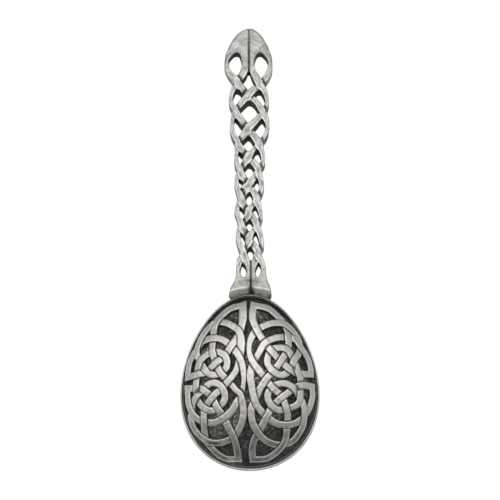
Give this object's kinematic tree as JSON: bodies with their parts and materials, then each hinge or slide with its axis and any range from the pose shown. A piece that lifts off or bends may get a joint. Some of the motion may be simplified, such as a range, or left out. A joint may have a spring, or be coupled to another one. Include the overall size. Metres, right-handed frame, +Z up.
{
  "type": "love spoon",
  "caption": "Cast pewter love spoon with knotwork panels on the back of its bowl, a pierced plaited handle and a pointed finial with eyes",
  "frame": {"origin": "on the table under the middle of the laid spoon's box", "axes": "+Y along the table from the bowl towards the finial, +Z up, +X to the right seen from the bowl's end"},
  "size_m": [0.046, 0.1488, 0.02],
  "materials": {
    "pewter_ground": "blackened pewter, stippled between the straps, satin inside",
    "pewter_rim": "antiqued pewter, rubbed bright along its ridge",
    "pewter_knot": "antiqued pewter, straps polished on top and dark at their edges",
    "pewter_collar": "antiqued pewter, satin with dark recesses",
    "pewter_plait": "antiqued pewter, strands polished on top and dark where they cross",
    "pewter_finial": "antiqued pewter, satin with a worn edge"
  },
  "bodies": {
    "root": {"bowl_shell": "pewter_ground", "bowl_rim": "pewter_rim", "knot_cord_left": "pewter_knot", "knot_cord_right": "pewter_knot", "collar_left": "pewter_collar", "collar_right": "pewter_collar", "plait_strand_1": "pewter_plait", "plait_strand_2": "pewter_plait", "plait_strand_3": "pewter_plait", "plait_strand_4": "pewter_plait", "finial_left": "pewter_finial", "finial_right": "pewter_finial"}
  },
  "joints": []
}
